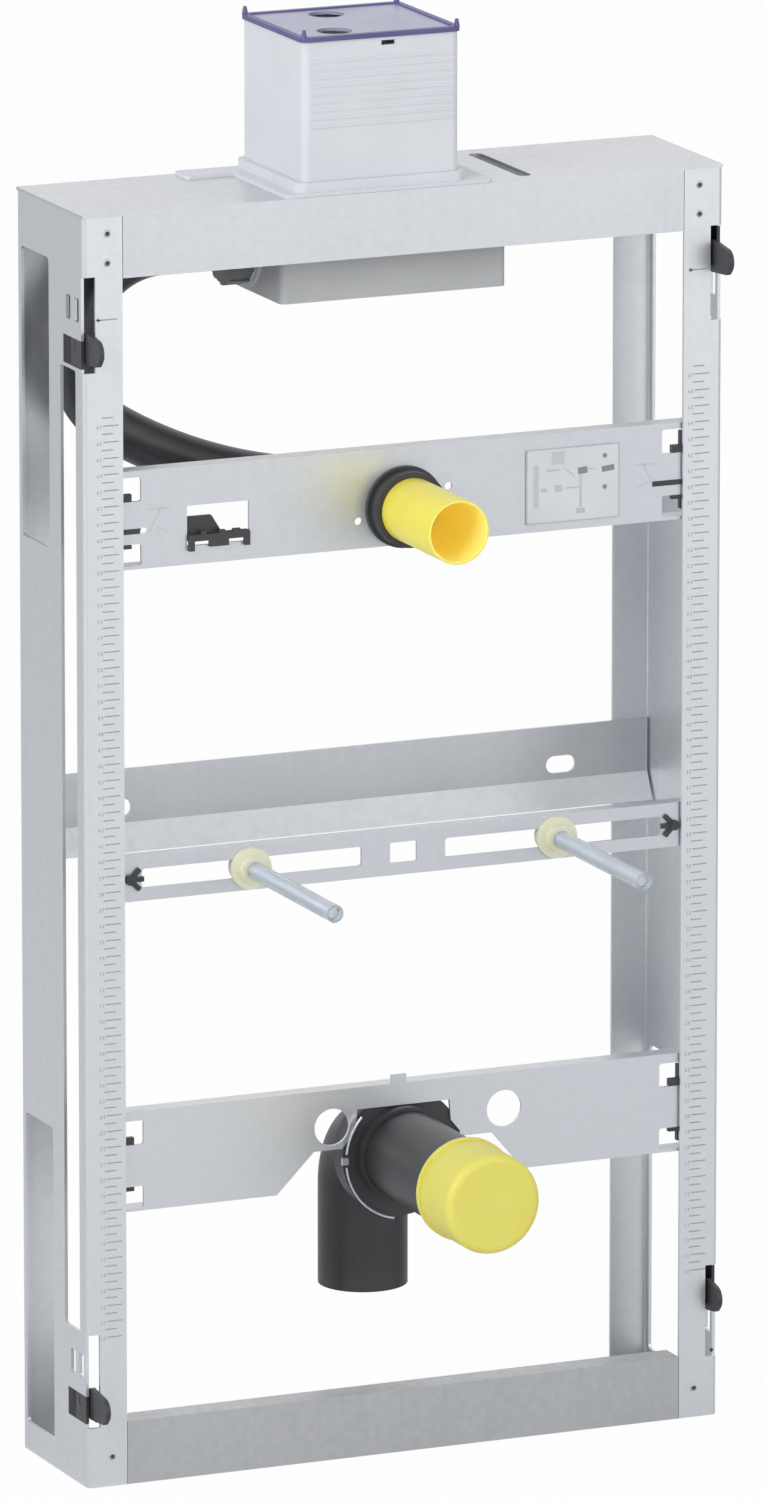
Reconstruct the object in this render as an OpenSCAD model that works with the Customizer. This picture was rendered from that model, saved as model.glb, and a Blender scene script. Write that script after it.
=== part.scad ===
// Installation frame for a wall-hung urinal, free standing on its base.
// X runs across the frame, Y from front to back and Z up. The origin is the middle of the base.

/* [Frame] */
// Width over the outer faces of the two posts
frame_w = 425; // [400:1:520]
// Height from the base to the top face of the top beam
frame_h = 795; // [740:1:960]
// Depth from the front plane to the back plane
frame_d = 105; // [96:1:128]
// Thickness of the galvanised sheet
sheet = 2; // [1.5:0.1:2.4]
// Width of the front and back flanges of a post
flange_w = 26; // [22:0.5:30]
// Height of the front faces of the top and bottom beams
beam_h = 40; // [34:1:48]
// Outer radius of the folds in the sheet
fold_r = 3; // [2.5:0.1:4]

/* [Post openings] */
// Height where the front slot in the web starts
web_slot_z = 97; // [90:1:110]
// Height where the front slot in the web ends, measured down from the top
web_slot_drop = 97; // [90:1:110]
// Distance of the front slot from the front plane
web_slot_u = 12; // [10:1:14]
// Width of the front slot
web_slot_w = 24; // [18:1:28]
// Distance of the rear windows from the front plane
rear_window_u = 54; // [50:1:58]
// Width of the rear windows
rear_window_w = 44; // [30:1:44]
// Height of the top edge of the lower rear window
low_window_top = 216; // [180:1:260]
// Height of the lower edge of the upper rear window
high_window_z = 580; // [520:1:620]

/* [Corner locks] */
// Height of the corner cut-out that a lock sits in
lock_slot_h = 59; // [50:1:64]
// Width of the corner cut-out on the front flange
lock_slot_w = 8.2; // [7:0.1:10]
// Distance of the cut-out from the end of the post
lock_slot_end = 38; // [34:1:44]
// Distance of the lock pin behind the front plane
lock_pin_u = 12; // [11:0.5:13]
// Radius of the lock pin
lock_pin_r = 3; // [2.5:0.1:3.5]
// Thickness of the lock lever
lock_t = 3; // [2.4:0.1:3.4]

/* [Upper traverse] */
// Height of the lower edge of the upper traverse
upper_z = 574; // [540:1:600]
// Height of the upper traverse
upper_h = 61; // [54:1:70]
// Height of the axis of the flush inlet
flush_z = 598; // [590:1:604]
// Outer radius of the flush pipe
flush_r = 15; // [14:0.5:18]
// Outer radius of the yellow flush plug
plug_r = 20; // [18:0.5:22]
// Reach of the flush plug in front of the front plane
plug_reach = 80; // [60:1:100]

/* [Stud rail] */
// Height of the lower edge of the stud rail
stud_rail_z = 367; // [340:1:400]
// Height of the stud rail
stud_rail_h = 28; // [24:1:34]
// Distance between the two studs
stud_gap = 205; // [180:1:240]
// Radius of the threaded studs
stud_r = 4; // [3:0.5:5]
// Reach of the stud sleeves in front of the front plane
stud_reach = 128; // [100:1:150]

/* [Drain traverse] */
// Height of the lower edge of the drain traverse
drain_rail_z = 172; // [165:1:190]
// Height of the drain traverse
drain_rail_h = 63; // [56:1:70]
// Height of the drain axis
drain_z = 190; // [184:1:200]
// Outer radius of the drain pipe
drain_r = 28; // [25:0.5:30]
// Distance of the vertical drain leg behind the front plane
drain_leg_u = 66; // [64:1:70]
// Height of the open end of the vertical leg
drain_end_z = 93; // [80:1:110]
// Reach of the drain cap in front of the front plane
drain_reach = 135; // [110:1:150]

/* [Rear crossbar] */
// Height of the lower edge of the rear crossbar
crossbar_z = 375; // [350:1:400]
// Height of the rear crossbar
crossbar_h = 51; // [44:1:60]
// Distance between the two fixing slots of the rear crossbar
crossbar_slot_gap = 300; // [240:1:320]

/* [Guard box] */
// Width of the guard box
guard_w = 104; // [96:1:112]
// Depth of the guard box
guard_d = 94; // [86:1:96]
// Height of the guard box above the top beam
guard_h = 94; // [80:1:110]
// Distance of the middle of the guard box from the middle of the frame
guard_x = -13; // [-20:1:10]
// Wall of the guard box
guard_wall = 2; // [1.6:0.1:3]

/* [Hidden] */
$fn = 48;

eps = 0.5;
half_w = frame_w / 2;
front_y = -frame_d / 2;
back_y = frame_d / 2;
post_h = frame_h - sheet;
inner_x = half_w - sheet;
flange_x = half_w - flange_w;

// The cross rails slide behind the front flanges
rail_gap = 1;
rail_y = front_y + sheet + rail_gap;
rail_end_gap = 5.5;
rail_x = inner_x - rail_end_gap;
lip_d = 12;
zinc = [0.83, 0.85, 0.87];
black = [0.16, 0.16, 0.17];
yellow = [0.95, 0.88, 0.25];

// Rectangle with round corners, centred on the origin
module round_rect(w, h, r) {
    square([w, h - 2 * r], center = true);
    square([w - 2 * r, h], center = true);
    for (sx = [-1, 1], sy = [-1, 1])
        translate([sx * (w / 2 - r), sy * (h / 2 - r)])
            circle(r);
}

// Slab standing on the XY plane, from a round rectangle
module round_slab(w, d, h, r) {
    linear_extrude(h)
        round_rect(w, d, r);
}

// Opening through a wall that faces front, given by its middle and size
module front_opening(x, z, w, h, r, y0, y1) {
    translate([x, y1, z])
        rotate([90, 0, 0])
            linear_extrude(y1 - y0)
                round_rect(w, h, r);
}

// Opening through a wall that faces sideways, given by its middle and size
module side_opening(y, z, d, h, r, x0, x1) {
    translate([x0, y, z])
        rotate([90, 0, 90])
            linear_extrude(x1 - x0)
                round_rect(d, h, r);
}

// Rod along Y from y0 to y1
module y_rod(x, z, r, y0, y1) {
    translate([x, y1, z])
        rotate([90, 0, 0])
            cylinder(r = r, h = y1 - y0);
}

// Tube along Y from y0 to y1
module y_tube(x, z, r_out, r_in, y0, y1) {
    difference() {
        y_rod(x, z, r_out, y0, y1);
        y_rod(x, z, r_in, y0 - eps, y1 + eps);
    }
}

// Places its children on the right, or mirrored on the left
module on_side(side) {
    if (side > 0)
        children();
    else
        mirror([1, 0, 0])
            children();
}

// Cross-section of a folded post, web on the left at x = 0
module post_profile() {
    spare = 10;
    intersection() {
        difference() {
            translate([(flange_w + spare) / 2, 0])
                round_rect(flange_w + spare, frame_d, fold_r);
            translate([sheet + (flange_w + spare) / 2, 0])
                round_rect(flange_w + spare, frame_d - 2 * sheet, fold_r - sheet);
        }
        translate([0, -frame_d / 2])
            square([flange_w, frame_d]);
    }
}

// Corner locks: the pin and the block are in the lower half of a left-hand cut-out and in the
// upper half of a right-hand one. Heights are measured from the middle of the cut-out
top_lock_z = frame_h - lock_slot_end - lock_slot_h / 2;
bottom_lock_z = lock_slot_end + lock_slot_h / 2;
lock_bore_gap = 0.06;
lock_pin_y = front_y + lock_pin_u;
block_end_u = 31;
block_gap = 0.25;
left_block = [-27, -10];
right_block = [3, 28];

function pin_z(side) = side > 0 ? 10 : -14.5;
function block_z(side) = side > 0 ? right_block : left_block;

// Places its children, drawn for the right-hand side, at one corner
module on_lock(side, slot_z) {
    translate([0, 0, slot_z])
        on_side(side)
            children();
}

// Front slot and rear windows in the web of a post
module web_cuts(x0, x1) {
    slot_top = frame_h - web_slot_drop;
    window_u = front_y + rear_window_u + rear_window_w / 2;
    low_z = 18;
    high_top = frame_h - 35;
    side_opening(front_y + web_slot_u + web_slot_w / 2, (web_slot_z + slot_top) / 2,
        web_slot_w, slot_top - web_slot_z, 2, x0, x1);
    side_opening(window_u, (low_z + low_window_top) / 2,
        rear_window_w, low_window_top - low_z, 3, x0, x1);
    side_opening(window_u, (high_window_z + high_top) / 2,
        rear_window_w, high_top - high_window_z, 3, x0, x1);
}

// Corner cut-out, window of the lock block and two short slots
module lock_cuts(side, x0, x1) {
    corner_cut = 3;
    short_slot = [7, 15];
    short_slot_z = side > 0 ? -8.3 : 8.3;
    short_slot_u = [10, 23];
    ends = block_z(side) + [-block_gap, block_gap];
    translate([half_w - lock_slot_w, front_y - eps, -lock_slot_h / 2])
        cube([lock_slot_w + eps, corner_cut + eps, lock_slot_h]);
    translate([x0, front_y - eps, ends[0]])
        cube([x1 - x0, block_end_u + block_gap + eps, ends[1] - ends[0]]);
    for (u = short_slot_u)
        side_opening(front_y + u, short_slot_z, short_slot[0], short_slot[1], 1.5, x0, x1);
}

module post(side) {
    x0 = inner_x - eps;
    x1 = half_w + eps;
    color(zinc)
        difference() {
            on_side(side)
                translate([half_w, 0, 0])
                    mirror([1, 0, 0])
                        linear_extrude(post_h)
                            post_profile();
            on_side(side)
                web_cuts(x0, x1);
            for (slot_z = [top_lock_z, bottom_lock_z])
                on_lock(side, slot_z)
                    lock_cuts(side, x0, x1);
        }
}

module left_post() {
    post(-1);
}

module right_post() {
    post(1);
}

// Top beam: full top face, front and back faces between the post flanges
seam = 0.4;
beam_slot_l = 80;
beam_slot_w = 9;
beam_slot_x = 86;
valve_opening = [64, 56];

module top_beam() {
    face_w = 2 * (flange_x - seam);
    color(zinc)
        difference() {
            union() {
                translate([-half_w, front_y, post_h])
                    cube([frame_w, frame_d, sheet]);
                for (y = [front_y, back_y - sheet])
                    translate([-face_w / 2, y, frame_h - beam_h])
                        cube([face_w, sheet, beam_h]);
            }
            translate([beam_slot_x, 0, post_h - eps])
                round_slab(beam_slot_w, beam_slot_l, sheet + 2 * eps, beam_slot_w / 2 - 0.1);
            translate([guard_x, 0, post_h - eps])
                round_slab(valve_opening[0], valve_opening[1], sheet + 2 * eps, 4);
        }
}

// Bottom beam: front face with a folded top lip, and a flat base between the webs
module bottom_beam() {
    face_w = 2 * (flange_x - seam);
    lip = 18;
    base_gap = 0.5;
    end_gap = 0.2;
    color([0.66, 0.68, 0.7]) {
        translate([-face_w / 2, front_y, 0])
            cube([face_w, sheet, beam_h]);
        translate([-face_w / 2, front_y, beam_h - sheet])
            cube([face_w, lip, sheet]);
        translate([-face_w / 2, front_y, 0])
            cube([face_w, frame_d, sheet]);
        translate([end_gap - inner_x, front_y + sheet + base_gap, 0])
            cube([2 * (inner_x - end_gap), frame_d - 2 * (sheet + base_gap), sheet]);
    }
}

// Rear crossbar: stepped strip on the inner side of the back flanges
crossbar_y = back_y - sheet;
crossbar_lip = 17;
crossbar_slot = [20, 11];
crossbar_slot_z = crossbar_z + 26.5;

module rear_crossbar() {
    fold = crossbar_z + crossbar_lip;
    end_gap = fold_r - sheet + 0.2;
    color([0.72, 0.75, 0.79])
        difference() {
            translate([end_gap - inner_x, 0, 0])
                rotate([90, 0, 90])
                    linear_extrude(2 * (inner_x - end_gap))
                        polygon([
                            [crossbar_y, crossbar_z + crossbar_h],
                            [crossbar_y - sheet, crossbar_z + crossbar_h],
                            [crossbar_y - sheet, fold],
                            [crossbar_y - sheet - crossbar_lip / 2, crossbar_z],
                            [crossbar_y - crossbar_lip / 2, crossbar_z],
                            [crossbar_y, fold - 1]
                        ]);
            for (s = [-1, 1])
                front_opening(s * crossbar_slot_gap / 2, crossbar_slot_z, crossbar_slot[0],
                    crossbar_slot[1], crossbar_slot[1] / 2 - 0.05,
                    crossbar_y - sheet - eps, crossbar_y + eps);
        }
}

// Channel rail open to the back: front plate with folded top and bottom lips
module lipped_rail(z, h, w) {
    translate([-w / 2, rail_y, z])
        cube([w, sheet, h]);
    for (lip_z = [z, z + h - sheet])
        translate([-w / 2, rail_y, lip_z])
            cube([w, lip_d, sheet]);
}

// Notches at both ends of a traverse, where the end clips show
notch_w = 16;
notch_in = 13;
low_notch = [2, 15.5];
high_notch = [42, 57];

module end_notches(z) {
    for (s = [-1, 1], n = [low_notch, high_notch])
        front_opening(s * (flange_x - notch_in + notch_w / 2), z + (n[0] + n[1]) / 2, notch_w,
            n[1] - n[0], 1.5, rail_y - eps, rail_y + sheet + eps);
}

// Black clip that guides a traverse on the edge of the post flange. Its body and its front
// strip are hidden by the flange, and its two nubs show in the notches
strip_t = 0.5;
strip_in = 0.5;
strip_out = 1.4;

module end_clip(side, z) {
    inner = flange_x + strip_in;
    outer = flange_x + strip_out;
    nub_l = 6.5;
    nub_h = [2.3, 4.6];
    body = [9, 4];
    back = rail_y + sheet;
    low_z = z + low_notch[1] - nub_h[0] - 0.2;
    high_z = z + high_notch[0] + 0.2;
    color(black)
        on_side(side) {
            translate([inner, back, z + 6])
                cube([body[0], body[1], high_notch[1] - 8]);
            translate([inner, rail_y - strip_t, low_z])
                cube([outer - inner, strip_t, high_z - low_z]);
            translate([flange_x - nub_l, rail_y - strip_t, low_z])
                cube([outer + nub_l - flange_x, back + strip_t + 1 - rail_y, nub_h[0]]);
            translate([flange_x - nub_l, rail_y - strip_t, high_z])
                cube([outer + nub_l - flange_x, back + strip_t + 1 - rail_y, nub_h[1]]);
        }
}

// The upper clips have a tongue across the front of the traverse as well
module upper_clip(side, tongue_l) {
    tongue_z = 22;
    tongue_h = 3.2;
    end_clip(side, upper_z);
    color(black)
        on_side(side)
            translate([flange_x - tongue_l, rail_y - strip_t, upper_z + tongue_z])
                cube([tongue_l + strip_out, strip_t, tongue_h]);
}

// Upper traverse with the flush inlet, the clip window and two through holes
clip_window = [41, 25];
clip_window_x = -123;
clip_window_z = upper_z + 24;
collar_hole_r = plug_r + 1.5;

module upper_traverse() {
    hole_r = 2.5;
    color(zinc)
        difference() {
            lipped_rail(upper_z, upper_h, 2 * rail_x);
            end_notches(upper_z);
            front_opening(clip_window_x, clip_window_z, clip_window[0], clip_window[1], 1,
                rail_y - eps, rail_y + sheet + eps);
            y_rod(0, flush_z, collar_hole_r, rail_y - eps, rail_y + sheet + eps);
            for (p = [[-30, flush_z - 7], [30, flush_z + 10]])
                y_rod(p[0], p[1], hole_r, rail_y - eps, rail_y + sheet + eps);
        }
}

module upper_left_clip() {
    upper_clip(-1, 12.5);
}

module upper_right_clip() {
    upper_clip(1, 19.5);
}

// Toothed cable clip in the window of the upper traverse, measured from the window's lower
// left corner: slanted plate behind, band through the window, teeth above and legs below it
module cable_clip() {
    plate = [[-3, 3], [26, 3], [17, 17.5], [-3, 17.5]];
    plate_t = 3;
    band = [40, 4];
    band_x = 0.5;
    band_z = 3;
    front = 3;
    teeth = [[8, 3.5], [20, 4], [29, 5]];
    legs = [[0.5, 3.5, 6], [14, 12.5, 4], [37, 3.5, 5]];
    back = rail_y + sheet;
    color(black)
        translate([clip_window_x - clip_window[0] / 2, 0, clip_window_z - clip_window[1] / 2]) {
            translate([0, back + plate_t, 0])
                rotate([90, 0, 0])
                    linear_extrude(plate_t)
                        polygon(plate);
            translate([band_x, rail_y - front, band_z])
                cube([band[0], back + 1 + front - rail_y, band[1]]);
            for (t = teeth)
                translate([t[0], rail_y - front, band_z + band[1] - eps])
                    cube([t[1], 2, 2 + eps]);
            for (l = legs)
                translate([l[0], rail_y - front, band_z - l[2]])
                    cube([l[1], front, l[2] + eps]);
        }
}

// Bare plate on the right half of the upper traverse
label_size = [62, 46];
label_x = 113;

module label_plate() {
    t = 0.8;
    color([0.88, 0.89, 0.9])
        translate([label_x, rail_y, upper_z + upper_h / 2 - 2])
            rotate([90, 0, 0])
                linear_extrude(t)
                    round_rect(label_size[0], label_size[1], 1.5);
}

// Stud rail: flat strip with a lip, two long slots and a square window
stud_slot_h = 12;
stud_slot_in = 28;
stud_slot_out = 174;
stud_z = stud_rail_z + stud_rail_h / 2;

module stud_rail() {
    window = [18, 13];
    lip = 10;
    color(zinc)
        difference() {
            union() {
                translate([-rail_x, rail_y, stud_rail_z])
                    cube([2 * rail_x, sheet, stud_rail_h]);
                for (z = [stud_rail_z, stud_rail_z + stud_rail_h - sheet])
                    translate([-rail_x, rail_y, z])
                        cube([2 * rail_x, lip, sheet]);
            }
            for (s = [-1, 1])
                front_opening(s * (stud_slot_in + stud_slot_out) / 2, stud_z,
                    stud_slot_out - stud_slot_in, stud_slot_h, 2,
                    rail_y - eps, rail_y + sheet + eps);
            front_opening(0, stud_z, window[0], window[1], 1,
                rail_y - eps, rail_y + sheet + eps);
        }
}

// Fork-shaped clip on the end of the stud rail, beside the post flange
module rail_clip(side) {
    prong = [9, 2, 3];
    hub_r = 3.2;
    edge_gap = 1;
    x = flange_x - edge_gap - hub_r;
    color(black)
        on_side(side) {
            y_rod(x, stud_z, hub_r, rail_y - prong[1] - 0.8, rail_y);
            for (turn = [135, 180, 225])
                translate([x, rail_y - prong[1], stud_z])
                    rotate([0, turn, 0])
                        translate([0, 0, -prong[2] / 2])
                            cube(prong);
        }
}

module rail_left_clip() {
    rail_clip(-1);
}

module rail_right_clip() {
    rail_clip(1);
}

// Stud assembly: rod, flanged nut and clear sleeve
stud_x = stud_gap / 2;
nut_front = rail_y - 9;
sleeve_r = 5.5;
stud_tail = 22;

module stud(side) {
    color("silver")
        y_rod(side * stud_x, stud_z, stud_r, front_y - stud_reach + 4, rail_y + stud_tail);
}

module left_stud() {
    stud(-1);
}

module right_stud() {
    stud(1);
}

// Flanged nut in front of the rail with its counter nut behind it
module stud_nut(side) {
    flange_r = 13;
    hub_r = 8.5;
    flange_t = 3.5;
    color([0.93, 0.92, 0.72])
        difference() {
            union() {
                y_rod(side * stud_x, stud_z, flange_r, rail_y - flange_t, rail_y);
                y_rod(side * stud_x, stud_z, hub_r, nut_front, rail_y);
                y_rod(side * stud_x, stud_z, flange_r - 2, rail_y + sheet, rail_y + sheet + 6);
            }
            y_rod(side * stud_x, stud_z, stud_r, nut_front - eps, rail_y + 20);
        }
}

module left_nut() {
    stud_nut(-1);
}

module right_nut() {
    stud_nut(1);
}

module stud_sleeve(side) {
    color([0.75, 0.8, 0.87, 0.5])
        y_tube(side * stud_x, stud_z, sleeve_r, stud_r, front_y - stud_reach, nut_front);
}

module left_sleeve() {
    stud_sleeve(-1);
}

module right_sleeve() {
    stud_sleeve(1);
}

// Drain traverse: shaped plate with a bridge over the drain and two holes
bridge_r = drain_r + 3;

module drain_traverse() {
    z0 = drain_rail_z;
    z1 = drain_rail_z + drain_rail_h;
    bridge_z = drain_z + bridge_r;
    shelf_z = drain_z + 7;
    shoulder_z = drain_z + 18;
    hole_r = 11.7;
    peg = [10, 6];
    color(zinc)
        difference() {
            union() {
                translate([0, rail_y + sheet, 0])
                    rotate([90, 0, 0])
                        linear_extrude(sheet)
                            polygon([
                                [-rail_x, z0], [-85, z0], [-60, shelf_z], [-41, shelf_z],
                                [-bridge_r - 1, shoulder_z], [-bridge_r, bridge_z],
                                [bridge_r, bridge_z], [bridge_r + 1, shoulder_z],
                                [41, shelf_z], [60, shelf_z], [81, z0], [rail_x, z0],
                                [rail_x, z1], [-rail_x, z1]
                            ]);
                translate([-rail_x, rail_y, z1 - sheet])
                    cube([2 * rail_x, lip_d, sheet]);
                translate([-rail_x, rail_y, z0])
                    cube([rail_x - 90, lip_d, sheet]);
                translate([86, rail_y, z0])
                    cube([rail_x - 86, lip_d, sheet]);
                translate([-3 - peg[0] / 2, rail_y, z1 - eps])
                    cube([peg[0], sheet, peg[1]]);
            }
            end_notches(drain_rail_z);
            y_rod(-48, drain_z + 21.5, hole_r, rail_y - eps, rail_y + sheet + eps);
            y_rod(68, drain_z + 21.5, hole_r, rail_y - eps, rail_y + sheet + eps);
        }
}

module drain_left_clip() {
    end_clip(-1, drain_rail_z);
}

module drain_right_clip() {
    end_clip(1, drain_rail_z);
}

// Gap between round pieces that sit on each other
fit_gap = 0.1;

// Drain elbow: horizontal leg forward, vertical leg down behind the traverse
drain_wall = 3;
drain_bend_r = 34;
drain_leg_y = front_y + drain_leg_u;
cap_l = 45;
cap_wall = 3.2;
pipe_front = front_y - drain_reach + cap_wall + 0.5;

module drain_bend(r) {
    translate([0, drain_leg_y - drain_bend_r, drain_z - drain_bend_r])
        rotate([90, 0, 90])
            rotate_extrude(angle = 90)
                translate([drain_bend_r, 0])
                    circle(r);
}

module drain_elbow() {
    r_in = drain_r - drain_wall;
    leg_h = drain_z - drain_bend_r - drain_end_z;
    color(black)
        difference() {
            union() {
                drain_bend(drain_r);
                y_rod(0, drain_z, drain_r, pipe_front, drain_leg_y - drain_bend_r);
                translate([0, drain_leg_y, drain_end_z])
                    cylinder(r = drain_r, h = leg_h);
            }
            drain_bend(r_in);
            y_rod(0, drain_z, r_in, pipe_front - eps, drain_leg_y - drain_bend_r);
            translate([0, drain_leg_y, drain_end_z - eps])
                cylinder(r = r_in, h = leg_h + eps);
        }
}

// Clamp ring behind the drain traverse, tight round the drain pipe
module drain_clamp() {
    ring_r = drain_r + 12;
    ring_w = 14;
    neck_r = bridge_r - 0.6;
    neck_l = 8;
    y0 = rail_y + sheet;
    color([0.2, 0.2, 0.21]) {
        y_tube(0, drain_z, ring_r, drain_r + fit_gap, y0, y0 + ring_w);
        y_tube(0, drain_z, neck_r, drain_r + fit_gap, y0 - neck_l, y0);
    }
}

module drain_cap() {
    r_out = drain_r + cap_wall;
    edge_r = 5;
    rim = 1.2;
    front = front_y - drain_reach;
    color(yellow)
        translate([0, front, drain_z])
            rotate([-90, 0, 0])
                rotate_extrude()
                    difference() {
                        union() {
                            square([r_out - edge_r, cap_l]);
                            translate([0, edge_r])
                                square([r_out, cap_l - edge_r]);
                            translate([r_out - edge_r, edge_r])
                                intersection() {
                                    circle(edge_r);
                                    translate([0, -edge_r])
                                        square(edge_r);
                                }
                            translate([0, cap_l - 4])
                                square([r_out + rim, 4]);
                        }
                        translate([-eps, cap_wall])
                            square([drain_r + fit_gap + eps, cap_l]);
                    }
}

// Flush inlet: ring on the traverse, open yellow plug in it
collar_r = plug_r + 3.5;
collar_front = front_y - 10;
shoulder_y = rail_y - 1;

module flush_collar() {
    flange_r = collar_r + 2;
    color(black)
        difference() {
            union() {
                y_rod(0, flush_z, collar_r, collar_front, rail_y);
                y_rod(0, flush_z, flange_r, rail_y - 3, rail_y);
                y_rod(0, flush_z, collar_hole_r - 0.2, rail_y - 1, rail_y + sheet + 14);
            }
            y_rod(0, flush_z, plug_r + fit_gap, collar_front - eps, shoulder_y);
            y_rod(0, flush_z, flush_r + fit_gap, shoulder_y - 1, rail_y + sheet + 20);
        }
}

module flush_plug() {
    wall = 1.6;
    floor_t = 2;
    front = front_y - plug_reach;
    color(yellow)
        difference() {
            y_rod(0, flush_z, plug_r, front, shoulder_y);
            y_rod(0, flush_z, plug_r - wall, front - eps, shoulder_y - floor_t);
        }
}

// Flush pipe: out of the tray to the left, a tight loop down, then a wide sweep that ends at the
// inlet elbow. The path is worked out backwards, from the inlet
flush_wall = 3;
pipe_y = front_y + 75;
inlet_bend_r = 34;
inlet_y = pipe_y - inlet_bend_r;
inlet_run = 5.4;
loop_r = 58.3;
loop_turn = 149;
sweep_r = 319;
sweep_turn = 23.2;
slope = 180 - loop_turn - sweep_turn;
steep = slope + sweep_turn;
inlet_start = [-inlet_bend_r * cos(slope), flush_z + inlet_bend_r * sin(slope)];
sweep_end = inlet_start + inlet_run * [-cos(slope), sin(slope)];
sweep_mid = sweep_end + sweep_r * [sin(slope), cos(slope)];
loop_mid = sweep_mid - (sweep_r - loop_r) * [sin(steep), cos(steep)];
pipe_top_z = loop_mid[1] + loop_r;
pipe_start_x = -79;

module flush_ring() {
    difference() {
        circle(flush_r);
        circle(flush_r - flush_wall);
    }
}

module flush_pipe() {
    color(black) {
        // Stretch out of the coupling, along X
        translate([loop_mid[0], pipe_y, pipe_top_z])
            rotate([0, 90, 0])
                linear_extrude(pipe_start_x - loop_mid[0])
                    flush_ring();
        // Loop down the left side
        translate([loop_mid[0], pipe_y, loop_mid[1]])
            rotate([90, 0, 0])
                rotate([0, 0, 90])
                    rotate_extrude(angle = loop_turn)
                        translate([loop_r, 0])
                            flush_ring();
    }
}

// Wide sweep, moulded in one with the elbow that turns it forward into the inlet.
// All its joints are at quarter turns of the sloping frame it is drawn in
module flush_elbow() {
    color(black)
        translate([inlet_start[0], inlet_y, inlet_start[1]])
            rotate([0, slope, 0]) {
                translate([-inlet_run, inlet_bend_r, sweep_r])
                    mirror([1, 0, 0])
                        rotate([90, 0, 0])
                            rotate([0, 0, -90])
                                rotate_extrude(angle = sweep_turn)
                                    translate([sweep_r, 0])
                                        flush_ring();
                translate([-inlet_run, inlet_bend_r, 0])
                    rotate([0, 90, 0])
                        linear_extrude(inlet_run)
                            flush_ring();
                rotate_extrude(angle = 90)
                    translate([inlet_bend_r, 0])
                        flush_ring();
                translate([inlet_bend_r, 0, 0])
                    rotate([90, 0, 0])
                        linear_extrude(inlet_y - shoulder_y)
                            flush_ring();
            }
}

// Ribbed nut that holds the flush pipe in the tray connector
connector_x = -77;

module flush_coupling() {
    nut_l = 13;
    nut_r = 23.5;
    ribs = 12;
    rib = [nut_l, 1.6, 4];
    color([0.5, 0.51, 0.52])
        translate([connector_x - nut_l, pipe_y, pipe_top_z])
            difference() {
                union() {
                    rotate([0, 90, 0])
                        cylinder(r = nut_r, h = nut_l);
                    for (k = [0:ribs - 1])
                        rotate([k * 360 / ribs, 0, 0])
                            translate([0, nut_r - 0.6, -rib[2] / 2])
                                cube(rib);
                }
                translate([-eps, 0, 0])
                    rotate([0, 90, 0])
                        cylinder(r = flush_r + fit_gap, h = nut_l + 2 * eps);
            }
}

// Grey tray below the top beam, open upwards
tray_x0 = -74;
tray_x1 = 76;
tray_y0 = front_y + 20;
tray_y1 = front_y + 94;
tray_z = 726;
tray_wall = 2;

module valve_tray() {
    w = tray_x1 - tray_x0;
    d = tray_y1 - tray_y0;
    mark_r = 8;
    color([0.66, 0.67, 0.67])
        translate([(tray_x0 + tray_x1) / 2, (tray_y0 + tray_y1) / 2, tray_z])
            difference() {
                union() {
                    round_slab(w, d, post_h - tray_z, 4);
                    translate([w / 2 - 50 - mark_r * 6, -d / 2 + 0.5, 28])
                        rotate([90, 0, 0])
                            cylinder(r = mark_r, h = 1.5);
                }
                translate([0, 0, tray_wall])
                    round_slab(w - 2 * tray_wall, d - 2 * tray_wall, post_h, 3);
            }
}

// Pale round connector on the left side of the tray, in front of the coupling
module tray_connector() {
    flange_r = 27;
    flange_t = tray_x0 - connector_x;
    boss_r = 24;
    color([0.84, 0.85, 0.86])
        translate([connector_x, pipe_y, pipe_top_z])
            rotate([0, 90, 0])
                difference() {
                    union() {
                        cylinder(r = boss_r, h = flange_t);
                        translate([0, 0, flange_t / 3])
                            cylinder(r = flange_r, h = flange_t * 2 / 3);
                    }
                    translate([0, 0, -eps])
                        cylinder(r = flush_r - flush_wall, h = flange_t + 2 * eps);
                }
}

// Base skirt of the guard box, resting on the top beam
guard_y = 1.5;
skirt_h = 8;
guard_r = 5;

module guard_base() {
    left = 13;
    right = 20;
    foot_h = 2;
    ear = [44, 20];
    w = guard_w + left + right;
    gap = 0.3;
    color([0.86, 0.87, 0.89])
        difference() {
            union() {
                translate([guard_x + (right - left) / 2, 0, frame_h])
                    round_slab(w, frame_d - 4, foot_h, 3);
                translate([guard_x, guard_y, frame_h])
                    round_slab(guard_w + 8, guard_d + 4, skirt_h, guard_r + 2);
                translate([guard_x - guard_w / 2 - ear[0] / 2, back_y - ear[1] / 2 - 1, frame_h])
                    round_slab(ear[0], ear[1], foot_h, 3);
            }
            translate([guard_x, guard_y, frame_h - eps])
                round_slab(guard_w + 2 * gap, guard_d + 2 * gap, skirt_h + 2 * eps, guard_r + gap);
        }
}

// Guard box: ribbed housing, open at the top and the bottom
rib_count = 9;

module guard_box() {
    rib = 0.6;
    rib_pitch = 5;
    rib_w = guard_w - 2 * guard_r;
    slot = [9, 3];
    color([0.88, 0.89, 0.92])
        translate([guard_x, guard_y, frame_h])
            difference() {
                union() {
                    round_slab(guard_w, guard_d, guard_h, guard_r);
                    for (k = [0:rib_count - 1])
                        translate([-rib_w / 2, -guard_d / 2 - rib, guard_h - 13 - k * rib_pitch])
                            cube([rib_w, 1 + rib, 1.4]);
                }
                translate([0, 0, -eps])
                    round_slab(guard_w - 2 * guard_wall, guard_d - 2 * guard_wall,
                        guard_h + 2 * eps, guard_r - guard_wall);
                translate([0, -guard_d / 2 - 2, guard_h - 5])
                    cube([slot[0], 8, slot[1]]);
            }
}

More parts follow.
